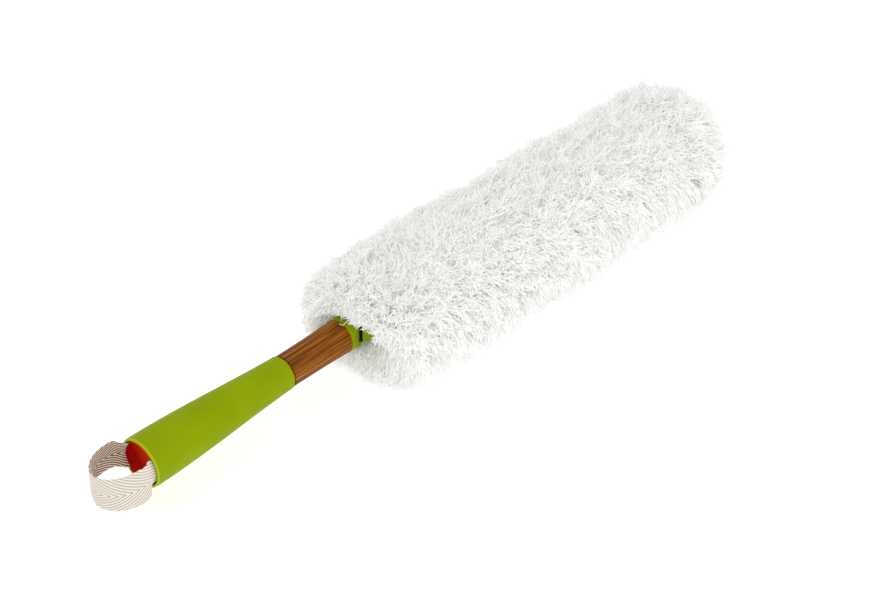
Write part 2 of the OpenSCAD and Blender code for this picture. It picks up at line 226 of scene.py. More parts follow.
def span(tree, value, low, high, out_low, out_high):
    n = add(tree, "ShaderNodeMapRange", {
        "Value": value, "From Min": low, "From Max": high, "To Min": out_low, "To Max": out_high})
    return n.outputs["Result"]


def blend(tree, fac, a, b, mode="MIX"):
    n = add(tree, "ShaderNodeMix", data_type="RGBA", blend_type=mode)
    # The node has sockets of the same name for numbers, vectors and colours
    for key, kind, v in (("Factor", "VALUE", fac), ("A", "RGBA", a), ("B", "RGBA", b)):
        socket = next(s for s in n.inputs if s.name == key and s.type == kind)
        if isinstance(v, bpy.types.NodeSocket):
            link(tree, v, socket)
        else:
            socket.default_value = v if kind == "VALUE" else (*v, 1.0)
    return next(s for s in n.outputs if s.type == "RGBA")


def bump(tree, height, strength, distance):
    n = add(tree, "ShaderNodeBump", {"Height": height, "Strength": strength, "Distance": distance})
    return n.outputs["Normal"]


def painted_rim_highlight_and_bore_shade(tree, coord, color, rim_x, rim_highlight_color, bore_r):
    """Paints a highlight on the rim behind rim_x, and paints shade in the mouth of a bore along the handle.
    """
    x = add(tree, "ShaderNodeSeparateXYZ", {"Vector": coord}).outputs["X"]
    # Painted highlight: the rim behind rim_x is painted a lighter colour
    color = blend(tree, span(tree, x, rim_x - 0.0004, rim_x + 0.0003, 1.0, 0.0), color, rim_highlight_color)
    # Painted shade: the mouth of the bore is painted near black
    off_axis = vector_calc(tree, "SUBTRACT", coord, (0.0, 0.0, PIVOT[2]))
    flat = vector_calc(tree, "MULTIPLY", off_axis, (0.0, 1.0, 1.0))
    radius = vector_calc(tree, "LENGTH", flat, result="Value")
    bore_shade_mask = span(tree, radius, bore_r, bore_r + 0.0002, 1.0, 0.0)
    mouth = span(tree, x, rim_x, rim_x + 0.004, 1.0, 0.0)
    return blend(tree, calc(tree, "MULTIPLY", bore_shade_mask, mouth), color, (0.020, 0.014, 0.0005))


def moulded_plastic(name, light, dark, rough, grain=0.12, specular=0.5, rim=None):
    """Moulded plastic. rim holds an X position, a painted highlight colour and a bore's radius, for
    painted_rim_highlight_and_bore_shade.
    """
    m, t, p = new_material(name)
    plain = stretched(t, (1, 1, 1))
    color = ramp(t, noise(t, plain, 28.0, 3.0), [(0.32, dark), (0.68, light)])
    if rim:
        color = painted_rim_highlight_and_bore_shade(t, plain, color, *rim)
    link(t, color, p.inputs["Base Color"])
    fine = noise(t, plain, 2600.0, 2.0)
    link(t, span(t, noise(t, plain, 160.0, 3.0), 0.3, 0.7, rough - 0.05, rough + 0.06), p.inputs["Roughness"])
    link(t, bump(t, fine, grain, 0.0001), p.inputs["Normal"])
    p.inputs["Specular IOR Level"].default_value = specular
    return m


def brushed_metal(name, color, rough):
    m, t, p = new_material(name)
    streak = noise(t, stretched(t, (60, 900, 900)), 3.0, 4.0)
    link(t, ramp(t, streak, [(0.3, tuple(c * 0.8 for c in color)), (0.7, color)]), p.inputs["Base Color"])
    p.inputs["Metallic"].default_value = 1.0
    link(t, span(t, streak, 0.3, 0.7, rough - 0.06, rough + 0.08), p.inputs["Roughness"])
    link(t, bump(t, streak, 0.15, 0.0001), p.inputs["Normal"])
    return m


def bamboo_material():
    """Carbonised laminated bamboo: strips side by side, each with its own tone, and dark fibres along X."""
    m, t, p = new_material("carbonised_bamboo")
    # Strips lie side by side across the laminate, and their joints are planes along the handle
    strip_width = 0.0047
    across = vector_calc(t, "DOT_PRODUCT", object_coords(t), (0.0, 0.62, 0.785), result="Value")
    index = calc(t, "FLOOR", calc(t, "DIVIDE", across, strip_width))
    tone = add(t, "ShaderNodeTexWhiteNoise", {"W": index}, noise_dimensions="1D").outputs["Value"]
    wide = noise(t, stretched(t, (6, 330, 330)), 1.0, 3.0)
    fibre = noise(t, stretched(t, (13, 1250, 1250)), 1.0, 5.0, 0.65)
    mixed = calc(t, "MULTIPLY_ADD", wide, 0.62, calc(t, "MULTIPLY", tone, 0.34))
    body = ramp(t, mixed, [(0.26, (0.080, 0.014, 0.0002)), (0.40, (0.150, 0.038, 0.0008)),
                           (0.54, (0.225, 0.070, 0.0030)), (0.70, (0.330, 0.130, 0.0140))])
    streak = ramp(t, fibre, [(0.40, (0.30, 0.20, 0.12)), (0.49, (0.92, 0.88, 0.80)),
                             (0.64, (1.50, 1.65, 1.80))])
    link(t, blend(t, 0.95, body, streak, "MULTIPLY"), p.inputs["Base Color"])
    link(t, span(t, fibre, 0.3, 0.7, 0.62, 0.44), p.inputs["Roughness"])
    link(t, bump(t, fibre, 0.35, 0.0002), p.inputs["Normal"])
    p.inputs["IOR"].default_value = 1.2
    return m


def plug_material():
    """Deep red plastic with a painted orange highlight on its rounded edge, painted light on its upper side
    and painted shade on its side.
    """
    m, t, p = new_material("deep_red_plastic")
    coord = object_coords(t)
    x = add(t, "ShaderNodeSeparateXYZ", {"Vector": coord}).outputs["X"]
    face_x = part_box("butt_plug")[0].x
    edge = span(t, x, face_x + 0.00002, face_x + 0.0003, 0.0, 1.0)
    cloud = noise(t, coord, 130.0, 3.0)
    face = ramp(t, cloud, [(0.3, (0.240, 0.0004, 0.0002)), (0.7, (0.360, 0.004, 0.0006))])
    # Painted light: its upper side towards -Y is painted a brighter orange
    axis_z = PIVOT[2]
    glow_y, glow_z = -0.78, 0.62
    painted_glow_at = vector_calc(t, "DOT_PRODUCT", coord, (0.0, glow_y, glow_z), result="Value")
    glow = span(t, painted_glow_at, glow_z * axis_z + 0.001, glow_z * axis_z + 0.016, 0.0, 0.85)
    face = blend(t, glow, face, (0.60, 0.032, 0.004))
    # Painted highlight: the rounded edge is painted a brighter orange
    lit = blend(t, edge, face, (0.62, 0.080, 0.004))
    # Painted shade: the plug's side, in the gap to the grip's rim, is painted near black
    side = span(t, x, face_x + 0.0003, face_x + 0.0007, 0.0, 1.0)
    link(t, blend(t, side, lit, (0.035, 0.0005, 0.0003)), p.inputs["Base Color"])
    link(t, span(t, noise(t, coord, 400.0, 3.0), 0.3, 0.7, 0.30, 0.40), p.inputs["Roughness"])
    link(t, bump(t, noise(t, coord, 1500.0, 2.0), 0.10, 0.0001), p.inputs["Normal"])
    p.inputs["IOR"].default_value = 1.02
    return m


def yarn_material(name, tip, lit_depth_color, rough=0.9):
    """Cotton yarn: each strand has its own tone, and painted light evens out its shading: its ends are
    painted a little greyer, and its depth lighter and a little yellower.
    """
    m, t, p = new_material(name)
    # Painted light: the depth of each strand is painted lighter than its end
    between = tuple((a + 2 * b) / 3 for a, b in zip(lit_depth_color, tip))
    along = ramp(t, attribute(t, "depth"), [(0.0, lit_depth_color), (0.6, between), (0.9, tip)])
    shade = ramp(t, attribute(t, "tone"), [(0.0, (0.935, 0.938, 0.938)), (0.3, (0.975, 0.975, 0.970)),
                                           (0.6, (0.990, 0.990, 0.987)), (1.0, (1.0, 1.0, 1.0))])
    twist = noise(t, stretched(t, (1, 1, 1)), 1400.0, 2.0)
    fleck = ramp(t, twist, [(0.3, (0.98, 0.98, 0.976)), (0.6, (1.0, 1.0, 1.0))])
    link(t, blend(t, 1.0, blend(t, 1.0, along, shade, "MULTIPLY"), fleck, "MULTIPLY"), p.inputs["Base Color"])
    p.inputs["Roughness"].default_value = rough
    p.inputs["Sheen Weight"].default_value = 0.15
    p.inputs["Sheen Roughness"].default_value = 0.5
    p.inputs["Specular IOR Level"].default_value = 0.1
    return m


def tape_material():
    """Cream cotton tape with painted shade: the furrows of its herringbone are painted darker than its ribs,
    and its inside is painted browner, as shade tinted by a painted reflection off the red and green parts.
    """
    m, t, p = new_material("cotton_herringbone_tape")
    rib = attribute(t, "rib")
    # Painted shade: the furrows are darker than the ribs
    color = ramp(t, rib, [(0.0, (0.40, 0.34, 0.26)), (0.30, (0.62, 0.56, 0.47)), (0.65, (0.79, 0.75, 0.67))])
    # Painted shade and painted reflection: the tape's inside is darker and browner
    inside_painted_shade = ramp(t, rib, [(0.0, (0.10, 0.040, 0.012)), (0.42, (0.20, 0.10, 0.045)),
                         (0.70, (0.86, 0.76, 0.64))])
    fuzz = noise(t, stretched(t, (1, 1, 1)), 1900.0, 3.0)
    shaded = blend(t, attribute(t, "inside"), color, inside_painted_shade)
    fleck = ramp(t, fuzz, [(0.25, (0.84, 0.82, 0.79)), (0.6, (1.0, 1.0, 1.0))])
    link(t, blend(t, 1.0, shaded, fleck, "MULTIPLY"), p.inputs["Base Color"])
    link(t, bump(t, fuzz, 0.4, 0.0002), p.inputs["Normal"])
    p.inputs["Roughness"].default_value = 0.85
    p.inputs["Sheen Weight"].default_value = 0.2
    p.inputs["Specular IOR Level"].default_value = 0.2
    return m


def woven_material(name, color, thread_mm=0.7):
    """Plain-woven cotton: threads over and under, from object coordinates, with painted shade where they pass
    under.
    """
    m, t, p = new_material(name)
    # Each thread is half a wave, so that it passes over where its neighbour passes under
    k = math.pi / (thread_mm * MM)
    coord = object_coords(t)
    xyz = add(t, "ShaderNodeSeparateXYZ", {"Vector": coord})
    over_x, over_y = (calc(t, "SINE", calc(t, "MULTIPLY", xyz.outputs[axis], k)) for axis in "XY")
    height = span(t, calc(t, "MULTIPLY", over_x, over_y), -1.0, 1.0, 0.0, 1.0)
    cloud = noise(t, coord, 45.0, 3.0)
    # Painted shade: each thread is painted darker where it dips under its neighbour
    base = ramp(t, height, [(0.1, tuple(c * 0.72 for c in color)), (0.7, color)])
    dirt = ramp(t, cloud, [(0.3, (0.93, 0.92, 0.89)), (0.7, (1.0, 1.0, 1.0))])
    link(t, blend(t, 1.0, base, dirt, "MULTIPLY"), p.inputs["Base Color"])
    link(t, bump(t, height, 0.5, 0.0003), p.inputs["Normal"])
    p.inputs["Roughness"].default_value = 0.88
    p.inputs["Sheen Weight"].default_value = 0.2
    return m


# The last green is a painted highlight for the grip's rim; the next line also gives the bore whose mouth is
# painted with shade
LIME, DARK_LIME, RIM_HIGHLIGHT_LIME = (0.240, 0.318, 0.0004), (0.218, 0.292, 0.0002), (0.37, 0.45, 0.008)
grip_rim_highlight_and_shade = (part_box("grip_sleeve")[0].x + 0.0012, RIM_HIGHLIGHT_LIME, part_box("butt_plug")[1].y + 0.0007)

GREEN = moulded_plastic("lime_green_plastic", LIME, DARK_LIME, 0.48, specular=0.035)
GRIP = moulded_plastic("lime_green_grip", LIME, DARK_LIME, 0.48, specular=0.035, rim=grip_rim_highlight_and_shade)
BLACK = moulded_plastic("black_nylon", (0.008, 0.008, 0.009), (0.004, 0.004, 0.005), 0.55, specular=0.2)
IVORY = moulded_plastic("ivory_acetal", (0.80, 0.79, 0.74), (0.74, 0.73, 0.68), 0.42)
STEEL = brushed_metal("plain_steel", (0.56, 0.56, 0.58), 0.34)
BAMBOO = bamboo_material()
PLUG = plug_material()
TAPE = tape_material()
# Painted light: the yarn's ends are painted greyer and its depth lighter, to even out the shade among the
# strands
YARN = yarn_material("white_cotton_yarn", (0.955, 0.958, 0.952), (0.990, 0.990, 0.978))
WOVEN = woven_material("white_woven_backing", (0.84, 0.83, 0.78))
RIBBED = woven_material("white_elastic", (0.86, 0.86, 0.83), 1.1)

NODE_MATERIALS = {
    "bamboo_handle": BAMBOO, "grip_sleeve": GRIP, "butt_plug": PLUG, "loop_pin": STEEL,
    "collar": GREEN, "collar_dowel": STEEL, "pivot_pin": STEEL, "pin_clip": STEEL,
    "friction_shoe": IVORY, "friction_spring": STEEL, "knuckle": BLACK, "knuckle_screws": STEEL,
    "paddle": GREEN, "paddle_back": GREEN, "paddle_screws": STEEL, "stiffener_wire": STEEL,
}


def paint(obj, material):
    obj.data.materials.clear()
    obj.data.materials.append(material)


for name, material in NODE_MATERIALS.items():
    paint(NODE[name], material)
    for poly in NODE[name].data.polygons:
        poly.use_smooth = True


# ---------------------------------------------------------------- hanging tape

TAPE_HALF_W = 12.5
TAPE_THICK = 1.3
plug_lo, plug_hi = box_mm("butt_plug")
BUTT_X = plug_lo[0]
TAIL_R = plug_hi[1] - 0.4              # the tails lie at this distance from the handle's axis
BOW_X = BUTT_X - 16.0                  # the bow is widest here


def tape_line():
    """The tape's centre line in plan at even steps: a straight tail, an open bow and the other tail.

    Gives the distance along the tape, X and Y.
    """
    bow_l = BOW_X - box_mm("hang_loop")[0][0] - TAPE_THICK / 2
    bow_w, throat_w = 19.8, 15.0
    tail_x = np.linspace(BUTT_X + 17, BUTT_X - 1.0, 12)
    tail_y = np.full(len(tail_x), TAIL_R)
    start = math.pi / 2 - math.asin(throat_w / bow_l)
    angle = np.linspace(start, 2 * math.pi - start, 150)[1:-1]
    line = np.concatenate([
        np.stack([tail_x, tail_y], -1),
        np.stack([BOW_X + bow_l * np.cos(angle), bow_w * np.sin(angle)], -1),
        np.stack([tail_x[::-1], -tail_y], -1)])
    for _ in range(6):
        line[1:-1] = (line[:-2] + 2 * line[1:-1] + line[2:]) / 4
    run = np.concatenate([[0], np.cumsum(np.linalg.norm(np.diff(line, axis=0), axis=1))])
    s = np.linspace(0, run[-1], int(run[-1] / 0.28))
    return s, np.interp(s, run, line[:, 0]), np.interp(s, run, line[:, 1])


def tape_surface(s, cx, cy, w):
    """Middle of the tape's thickness as a grid of points, and the outward normals there."""
    along = unit(np.stack([np.gradient(cx), np.gradient(cy)], -1))
    out = np.stack([-along[:, 1], along[:, 0]], -1)
    if (out * np.stack([cx - BOW_X, cy], -1)).sum(-1).mean() < 0:
        out = -out
    # In the bow the band stands upright, and its near side leans out at the bottom
    away = np.clip((BUTT_X - 1.0 - cx) / 15.0, 0, 1)
    near = (np.clip((-cy + 6) / 20, 0, 1) * away)[:, None]
    lean = np.radians(20.0) * near
    ripple = 0.35 * np.sin(s / 9.0)[:, None] * np.sin(w / 7.0)
    flat_out = -np.sin(lean) * w + 1.2 * near * (1 - (w / TAPE_HALF_W) ** 2) + ripple
    far = (np.clip(cy / 16, 0, 1) * np.clip((BUTT_X + 1.0 - cx) / 6.0, 0, 1))[:, None]
    flat_z = np.cos(lean) * w + 1.0 + 2.0 * far
    # In the butt it follows the rim's curve
    bent_out = TAIL_R * (np.cos(w / TAIL_R) - 1)
    bent_z = TAIL_R * np.sin(w / TAIL_R) + 1.2 * np.clip((BUTT_X + 1.0 - cx) / 4.0, 0, 1)[:, None]
    curved = np.clip((cx - (BUTT_X - 10.0)) / 11.0, 0, 1)
    curved = (curved * curved * (3 - 2 * curved))[:, None]
    off = flat_out * (1 - curved) + bent_out * curved
    z = flat_z * (1 - curved) + bent_z * curved
    middle = np.stack([cx[:, None] + out[:, 0:1] * off, cy[:, None] + out[:, 1:2] * off, z + 0 * off], -1)
    normal = unit(np.cross(np.gradient(middle, axis=0), np.gradient(middle, axis=1)))
    if (normal[..., 0] * out[:, 0:1] + normal[..., 1] * out[:, 1:2]).mean() < 0:
        normal = -normal
    return middle, normal


def hanging_tape():
    """A 25 mm tape whose tails lie curved in the butt and whose bow stands open behind it."""
    s, cx, cy = tape_line()
    w = np.linspace(-TAPE_HALF_W, TAPE_HALF_W, 84)[None, :]
    middle, normal = tape_surface(s, cx, cy, w)
    # Herringbone: ribs run at a shallow angle to the tape and meet in chevrons along its middle
    rib_pitch, rib_slope, stitch_pitch = 2.2, 0.42, 1.15
    phase = (np.abs(w) + rib_slope * s[:, None]) / rib_pitch
    rib = 0.5 + 0.5 * np.cos(2 * math.pi * phase)
    stitch = 0.06 * np.sin(2 * math.pi * (s[:, None] - rib_slope * np.abs(w)) / stitch_pitch)
    fray = 1 + 0.03 * rng.standard_normal(rib.shape)
    edge = np.clip((TAPE_HALF_W - np.abs(w)) / 0.8, 0, 1) ** 0.5
    half = (TAPE_THICK / 2 - 0.28 + (0.32 * rib + stitch * rib) * fray) * (0.35 + 0.65 * edge)
    # Ribs that end at the edge leave it slightly ragged
    at_edge = np.clip((np.abs(w) - TAPE_HALF_W + 1.0), 0, 1) * np.sign(w)
    middle[..., 2] += 0.22 * np.sin(2 * math.pi * phase) * at_edge
    # The rib and inside attributes carry the tape's painted shade
    tape = closed_sheet("hanging_tape", middle + normal * half[..., None], middle - normal * half[..., None],
                        attributes={"rib": (rib, rib), "inside": (0.0, 1.0)})
    paint(tape, TAPE)
    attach(tape, "handle")
    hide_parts("hang_loop")


hanging_tape()


# ---------------------------------------------------------------- yarn pile

pile_hi = box_mm("pile_top")[1]
sleeve_hi = box_mm("sleeve_top")[1]
mouth_lo = box_mm("mouth_elastic")[0]
FLOOR_Z = box_mm("pile_bottom")[0][2]
TIP_X = pile_hi[0]
HALF_W, HALF_H = pile_hi[1], pile_hi[2]
ROUND_X = TIP_X - 57.0                 # the pile's round end begins here
MOUTH_X = mouth_lo[0]
TOWARDS_VIEW = math.radians(130.0)     # the parting faces up and to the -Y side


def section(x):
    """Half width, half height and centre of the pile's cross-section at x, before its round end."""
    f = np.clip((x - MOUTH_X) / (ROUND_X - MOUTH_X), 0, 1)
    swell = np.interp(f, [0, 0.08, 0.2, 0.45, 0.75, 1.0], [0.955, 0.985, 1.02, 0.985, 0.96, 0.95])
    yc = np.interp(f, [0, 0.2, 0.45, 0.75, 1.0], [-1.5, -2.5, -5.0, -5.5, -6.5])
    zc = np.interp(f, [0, 0.2, 0.45, 0.75, 1.0], [-1.5, -1.5, -3.0, -3.2, -4.0])
    return HALF_W * swell, HALF_H * swell, yc, zc


def radial(theta, w, h):
    return 1.0 / np.sqrt((np.cos(theta) / w) ** 2 + (np.sin(theta) / h) ** 2)


def field(a, b, seed, scale):
    """Smooth pseudo-random values over (a, b) millimetres, about -1 to 1."""
    r = np.random.default_rng(seed)
    total = np.zeros_like(a)
    for _ in range(7):
        k = r.uniform(0.55, 1.6) * 2 * math.pi / scale
        d = r.uniform(0, 2 * math.pi)
        total += np.sin(k * (a * math.cos(d) + b * math.sin(d)) + r.uniform(0, 2 * math.pi))
    return total / 3.2


def strand_uv(n, k, sides):
    """Texture places: a grid of upright cells, one for each strand."""
    i = np.arange(k - 1)[None, :, None]
    j = np.arange(sides)[None, None, :]
    across = int(math.ceil(math.sqrt(n * 7.0)))
    down = int(math.ceil(n / across))
    left, low = (np.arange(n) % across) / across, (np.arange(n) // across) / down
    pad = 0.12
    du, dv = (1 - 2 * pad) / across, (1 - 2 * pad) / down
    u0 = left[:, None, None] + pad / across + du * j / sides + 0 * i
    v0 = low[:, None, None] + pad / down + dv * i / (k - 1) + 0 * j
    u1, v1 = u0 + du / sides, v0 + dv / (k - 1)
    corners = [np.stack(c, -1) for c in ((u0, v0), (u1, v0), (u1, v1), (u0, v1))]
    tubes = np.stack(corners, -2).reshape(-1, 2)
    middle = left + 0.5 / across
    cap_corners = 3 * (sides - 2)
    ends = [np.repeat(np.stack([middle, low + v / down], -1), cap_corners, axis=0) for v in (pad, 1 - pad)]
    return np.concatenate([tubes, *ends])


def strands_to_mesh(name, line, radius, depth, tone, sides=3):
    """Tubes along line[n, k, 3] with radius[n, k], capped at both ends."""
    n, k = radius.shape
    tangent = unit(np.gradient(line, axis=1))
    ref = unit(np.cross(unit(line[:, -1] - line[:, 0]), np.array([0.31, -0.52, 0.79])))[:, None, :]
    a = unit(ref - (ref * tangent).sum(-1, keepdims=True) * tangent)
    b = np.cross(tangent, a)
    turn = (2 * math.pi * np.arange(sides) / sides)[None, None, :, None]
    ring = a[:, :, None, :] * np.cos(turn) + b[:, :, None, :] * np.sin(turn)
    points = line[:, :, None, :] + ring * radius[:, :, None, None]
    first = (np.arange(n) * k * sides)[:, None, None]
    i = np.arange(k - 1)[None, :, None] * sides
    j = np.arange(sides)[None, None, :]
    j1 = (j + 1) % sides
    quads = np.stack([first + i + j, first + i + j1, first + i + sides + j1, first + i + sides + j], -1)
    fan = np.arange(1, sides - 1)
    start = first[:, 0]
    end = start + (k - 1) * sides
    caps = np.concatenate([
        np.stack([start + 0 * fan, start + fan + 1, start + fan], -1).reshape(-1, 3),
        np.stack([end + 0 * fan, end + fan, end + fan + 1], -1).reshape(-1, 3)])
    attributes = {"depth": np.repeat(depth, sides, axis=1).ravel(), "tone": np.repeat(tone, k * sides)}
    obj = build_mesh(name, points.reshape(-1, 3), quads.reshape(-1, 4), caps, strand_uv(n, k, sides),
                     smooth=False, attributes=attributes)
    paint(obj, YARN)
    return obj


STRANDS_PER_PIECE = 4000
STRAND_RADIUS = 0.36
STRAY_SHARE = 0.012                    # strands that stand out of the pile's outline
SWING_LIMIT = math.radians(20)         # the hinge's range, each way

# Where a strand's points lie along it: close together in the outer part, where it curls
STRAND_T = np.array([0.0, 0.30, 0.52, 0.66, 0.77, 0.86, 0.93, 1.0])


def yarn(tufts, count, spread, bend, crimp):
    """Curved strands from tufts. tufts holds one row for each tuft in base, tip, out, droop and lock.

    lock runs from 0, loose curls bent over in every direction, to 1, a straight hanging lock.
    """
    n = len(tufts["base"])
    which = np.repeat(np.arange(n), count)
    m = len(which)
    base, tip, out = tufts["base"][which], tufts["tip"][which], tufts["out"][which]
    lock = tufts["lock"][which][:, None]
    side_a = unit(np.cross(out, np.array([1.0, 0.02, 0.03])))
    side_b = np.cross(out, side_a)

    def scatter(amount):
        g = rng.standard_normal((m, 2)) * amount
        return side_a * g[:, :1] + side_b * g[:, 1:]

    base = base + scatter(spread)
    tip = tip + scatter(spread * (1.0 - 0.38 * lock))
    tip = base + (tip - base) * (1 + 0.075 * np.clip(rng.standard_normal((m, 1)), -2.2, 2.0))
    # A few strands stand out of the pile, farthest at its tip
    ahead = np.clip(unit(tip - base)[:, :1] - 0.5, 0, 0.5)
    stray = rng.random((m, 1)) < STRAY_SHARE + 0.06 * ahead
    tip = np.where(stray, base + (tip - base) * (rng.uniform(1.10, 1.22, (m, 1)) + 0.4 * ahead), tip)
    reach = np.linalg.norm(tip - base, axis=1, keepdims=True)
    way = (tip - base) / reach
    t = STRAND_T[None, :, None]
    line = base[:, None] + (tip - base)[:, None] * t
    line += out[:, None] * (reach * 0.3)[:, None] * t * (1 - t)
    line[..., 2] -= (reach * tufts["droop"][which][:, None]) * STRAND_T[None, :] ** 2
    # The outer part bends over, towards its clump's side or its own, and falls back a little
    heading = rng.uniform(0, 2 * math.pi, n)[which] + rng.normal(0, 1.0 - 0.3 * lock[:, 0], m)
    over = side_a * np.cos(heading)[:, None] + side_b * np.sin(heading)[:, None]
    amount = bend * rng.uniform(0.35, 1.25, (m, 1)) * (1 - 0.6 * lock)
    late = np.clip((STRAND_T - 0.5) / 0.5, 0, None)[None, :, None] ** 1.7
    line += over[:, None] * amount[:, None] * late - way[:, None] * (0.35 * amount)[:, None] * late
    # Crimp: each strand wanders sideways in two planes
    p1 = unit(np.cross(way, np.array([0.21, 0.35, 0.91])))
    p2 = np.cross(way, p1)
    s = STRAND_T[None, :] * reach
    for share, wave in ((1.0, 13.0), (0.6, 7.5)):
        for plane in (p1, p2):
            k = 2 * math.pi / (wave * rng.uniform(0.75, 1.35, (m, 1)))
            size = share * crimp * rng.uniform(0.4, 1.3, (m, 1))
            sway = size * np.sin(k * s + rng.uniform(0, 2 * math.pi, (m, 1))) * STRAND_T[None, :] ** 0.7
            line += plane[:, None, :] * sway[..., None]
    return line, which


def clear_of_handle(line):
    """Pushes yarn out of the space that the handle and collar need as the head swings."""
    x, y, z = line[..., 0], line[..., 1], line[..., 2]
    collar_r, clearance = 14.2, 0.8
    behind = np.clip(-x, 0, 60)
    collar_y = (collar_r + behind * math.sin(SWING_LIMIT)) / math.cos(SWING_LIMIT) + clearance
    # In front of the collar only the paddle's root, which widens ahead, is in the way
    root_x, root_end_x = 7, 22
    half_y = np.where(x < root_x, collar_y, 10.6 + 0.19 * (x - 2))
    half_z = np.where(x < root_x, 14.8, 10.8)
    q = ((np.abs(y) / half_y) ** 4 + (np.abs(z) / half_z) ** 4) ** 0.25
    scale = np.where((q < 1) & (x < root_end_x), 1 / np.maximum(q, 0.2), 1.0)
    line[..., 1] *= scale
    line[..., 2] *= scale
    return line


def trim_round_collar(line):
    """Shortens yarn that would hang over the near side of the collar and of the paddle's root.

    across and along are distances on a plane square to a line of sight from -Y and above. Gives the
    mask of the strands that are kept.
    """
    x, y, z = line[..., 0], line[..., 1], line[..., 2]
    across = 0.763 * y + 0.647 * z
    along = 0.840 * x - 0.355 * y + 0.41 * z
    lowest, highest = -13.8, 16.5
    limit = np.interp(across, [lowest, -3.2, 13.7, highest], [13.2, 4.9, -2.3, -20.0])
    facing = 0.647 * y - 0.763 * z < 4.0
    inside = (across > lowest) & (across < highest) & (along < limit) & facing
    cut = np.where(inside.any(1))[0]
    gone = []
    for i in cut:
        k = int(np.argmax(inside[i]))
        if k == 0:
            gone.append(i)
            continue
        end = STRAND_T[k - 1] + (STRAND_T[k] - STRAND_T[k - 1]) * rng.uniform(0.1, 1.0)
        if end < 0.35:
            gone.append(i)
            continue
        # A few wisps are left to hang over the edge
        if rng.random() < 0.02:
            continue
        line[i] = np.stack([np.interp(STRAND_T * end, STRAND_T, line[i, :, axis]) for axis in range(3)], -1)
    kept = np.ones(len(line), bool)
    kept[gone] = False
    return kept


def within_reach(line):
    """No strand stands out more than a little beyond the CAD pile's sides."""
    y = line[..., 1]
    over = np.clip(np.abs(y) - HALF_W - 2.0, 0, None)
    line[..., 1] = y - np.sign(y) * over * 0.55
    return line


def rest_on_floor(line):
    """Yarn under the pile lies on the flat that it rests on."""
    low = FLOOR_Z + 0.7 + rng.uniform(0, 1.6, (line.shape[0], 1))
    z = line[..., 2]
    line[..., 2] = np.where(z < low, low + (z - low) * 0.02, z)
    return line


def hanging(theta):
    """0 on top of the pile, 1 low on its sides, where the yarn hangs in locks."""
    return np.clip(-np.sin(theta) * 0.9 + 0.25, 0, 1) ** 0.8


def barrel_tufts():
    """Tufts along the sides of the pile, from the mouth to its round end."""
    row_step, tuft_step = 6.4, 6.9
    found = []
    for row, x in enumerate(np.arange(MOUTH_X + 5, ROUND_X, row_step)):
        w, h, yc, zc = section(x)
        around = int(round(math.pi * (3 * (w + h) - math.sqrt((3 * w + h) * (w + 3 * h))) / tuft_step))
        th = (np.arange(around) + 0.5 * (row % 2) + rng.uniform(-0.34, 0.34, around)) * 2 * math.pi / around
        # Equal steps of angle crowd the ends of an ellipse, so angles are spread along the arc
        th = np.arctan2(h * np.sin(th), w * np.cos(th))
        at = x + rng.uniform(-2.8, 2.8, around)
        lean = 0.09 * field(at, th * 52, 11, 70) + rng.normal(0, 0.07, around)
        forward = 3.0 + 4.0 * (x / ROUND_X) + 3.5 * field(at, th * 52, 23, 60) + rng.normal(0, 2.6, around)
        # The parting: yarn falls away to both sides of one line along the pile
        gap = (th - TOWARDS_VIEW + math.pi) % (2 * math.pi) - math.pi
        gap -= 0.10 * np.sin(at / 31.0) + 0.05 * np.sin(at / 11.0 + 1.0)
        strength = np.clip((at - 130) / 60, 0, 1) * np.clip((TIP_X - 40 - at) / 40, 0, 1)
        lean += 0.05 * strength * np.sign(gap) * np.exp(-(gap / 0.30) ** 2)
        lock = hanging(th)
        reach = radial(th, w, h) * (1 + (0.020 + 0.025 * lock) * field(at, th * 52, 37, 26)
                                    + rng.normal(0, 0.036, around))
        turned = th + lean
        found.append({
            "base": np.stack([at, yc + 0.52 * w * np.cos(th), zc * 0.6 + 0.50 * h * np.sin(th)], -1),
            "tip": np.stack([at + forward, yc + reach * np.cos(turned), zc + reach * np.sin(turned)], -1),
            "out": np.stack([0 * th, np.cos(th), np.sin(th)], -1),
            "droop": 0.05 + 0.13 * np.abs(np.cos(th)) ** 1.5,
            "lock": lock,
        })
    return {key: np.concatenate([f[key] for f in found]) for key in found[0]}


def dome_angles(rows, widest, power, low, high):
    """Rows of directions over a dome: phi from its rim (0) to its pole (pi / 2), theta round it."""
    phi, theta = [], []
    for a in np.linspace(low, high, rows):
        count = max(1, int(round(widest * math.cos(a) ** power)))
        theta.append((np.arange(count) + rng.uniform(-0.35, 0.35, count)) * 2 * math.pi / count)
        phi.append(a + rng.uniform(-0.07, 0.07, count))
    return np.clip(np.concatenate(phi), 0, 0.49 * math.pi), np.concatenate(theta)


def front_tufts():
    """Tufts that fan out round the pile's tip."""
    w, h, yc, zc = section(ROUND_X)
    phi, theta = dome_angles(13, 50, 1.0, 0.02, 0.5 * math.pi - 0.03)
    rad = radial(theta, w, h)
    jitter = 1 + rng.normal(0, 0.04, len(phi))
    side = np.cos(phi) ** 0.92
    ahead = (TIP_X - ROUND_X) * np.sin(phi) * jitter
    base = np.stack([ROUND_X - 4 + 0.42 * ahead, yc + 0.52 * w * side * np.cos(theta),
                     zc * 0.6 + 0.46 * h * side * np.sin(theta)], -1)
    tip = np.stack([ROUND_X + ahead + 3.0 * np.cos(phi), yc + rad * side * np.cos(theta) * jitter,
                    zc + rad * side * np.sin(theta) * jitter], -1)
    tip += rng.normal(0, 1.8, tip.shape)
    return {"base": base, "tip": tip, "out": unit(tip - base), "droop": 0.06 + 0.06 * np.cos(phi),
            "lock": hanging(theta) * np.cos(phi)}


